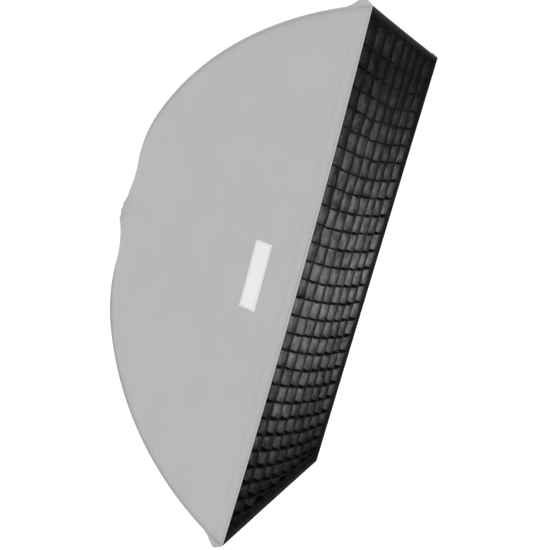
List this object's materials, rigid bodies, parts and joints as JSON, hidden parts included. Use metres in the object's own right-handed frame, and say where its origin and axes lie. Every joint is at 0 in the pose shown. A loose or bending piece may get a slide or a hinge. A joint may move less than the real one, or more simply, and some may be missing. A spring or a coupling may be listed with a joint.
{
  "type": "strip softbox",
  "caption": "Rod-framed strip softbox with a rotating speedring, silver-lined fabric shell, inner baffle, front diffuser and egg-crate grid.",
  "frame": {"origin": "centre of the seat on the head adapter that the lamp head closes on", "axes": "+Z along the long side of the front; -Y the way the light goes, +Y back to the lamp head; X across the short side"},
  "size_m": [0.6214, 0.6256, 1.2306],
  "materials": {
    "adapter_metal": "satin machined",
    "ring_metal": "textured black powder coat",
    "socket_metal": "zinc plated",
    "rod_steel": "spring steel, satin",
    "screw_steel": "zinc plated",
    "cap_vinyl": "dipped vinyl",
    "knob_plastic": "moulded, fluted",
    "anchor_plastic": "moulded",
    "shell_cloth": "coated woven nylon, light grey",
    "lining_silver": "silver coated cloth",
    "seam_tape": "woven binding, grey",
    "tab_webbing": "folded webbing, grey",
    "black_cloth": "coated woven nylon, black",
    "tape_black": "hook and loop tape",
    "label_cloth": "plain woven label",
    "diffuser_cloth": "white diffusion cloth",
    "elastic": "woven elastic",
    "ring_wire": "nickel plated wire",
    "grid_cloth": "black grid cloth"
  },
  "bodies": {
    "head_adapter": {"head_adapter": "adapter_metal", "retaining_ring": "ring_metal", "retaining_screws": "screw_steel"},
    "softbox": {"speedring": "ring_metal", "rod_socket_upper_left": "socket_metal", "rod_socket_upper_right": "socket_metal", "rod_socket_lower_left": "socket_metal", "rod_socket_lower_right": "socket_metal", "rod_upper_left": "rod_steel", "rod_upper_right": "rod_steel", "rod_lower_left": "rod_steel", "rod_lower_right": "rod_steel", "rod_cap_upper_left": "cap_vinyl", "rod_cap_upper_right": "cap_vinyl", "rod_cap_lower_left": "cap_vinyl", "rod_cap_lower_right": "cap_vinyl", "corner_pocket_upper_left": "tab_webbing", "corner_pocket_upper_right": "tab_webbing", "corner_pocket_lower_left": "tab_webbing", "corner_pocket_lower_right": "tab_webbing", "corner_seam_upper_left": "seam_tape", "corner_seam_upper_right": "seam_tape", "corner_seam_lower_left": "seam_tape", "corner_seam_lower_right": "seam_tape", "corner_tab_upper_left": "tab_webbing", "corner_tab_upper_right": "tab_webbing", "corner_tab_lower_left": "tab_webbing", "corner_tab_lower_right": "tab_webbing", "shell_panel_left": "shell_cloth", "shell_panel_right": "shell_cloth", "shell_panel_top": "shell_cloth", "shell_panel_bottom": "shell_cloth", "lining_left": "lining_silver", "lining_right": "lining_silver", "lining_top": "lining_silver", "lining_bottom": "lining_silver", "rear_cuff": "black_cloth", "front_lip": "black_cloth", "lip_tape_grid": "tape_black", "lip_tape_diffuser": "tape_black", "rim_binding": "black_cloth", "blank_label": "label_cloth", "baffle_anchors": "anchor_plastic"},
    "lock_knob": {"lock_screw": "screw_steel", "lock_knob": "knob_plastic"},
    "baffle": {"baffle_cloth": "diffuser_cloth", "baffle_straps": "elastic", "baffle_rings": "ring_wire"},
    "diffuser": {"diffuser_hem": "tape_black", "front_diffuser": "diffuser_cloth"},
    "grid": {"grid_border": "grid_cloth", "grid_tape": "tape_black", "grid_long_strips": "grid_cloth", "grid_cross_strips": "grid_cloth"}
  },
  "joints": [
    {"name": "ring_rotation", "type": "hinge", "parent": "head_adapter", "child": "softbox", "pos_m": [0, -0.02, 0], "axis": [0, 1, 0], "continuous": true},
    {"name": "lock_knob_turn", "type": "hinge", "parent": "softbox", "child": "lock_knob", "pos_m": [0.0805, -0.005, 0], "axis": [1, 0, 0], "range_deg": [0, 720]},
    {"name": "baffle_off", "type": "slide", "parent": "softbox", "child": "baffle", "axis": [0, -1, 0], "range_m": [0, 0.36]},
    {"name": "diffuser_off", "type": "slide", "parent": "baffle", "child": "diffuser", "axis": [0, -1, 0], "range_m": [0, 0.13]},
    {"name": "grid_off", "type": "slide", "parent": "diffuser", "child": "grid", "axis": [0, -1, 0], "range_m": [0, 0.12]}
  ]
}
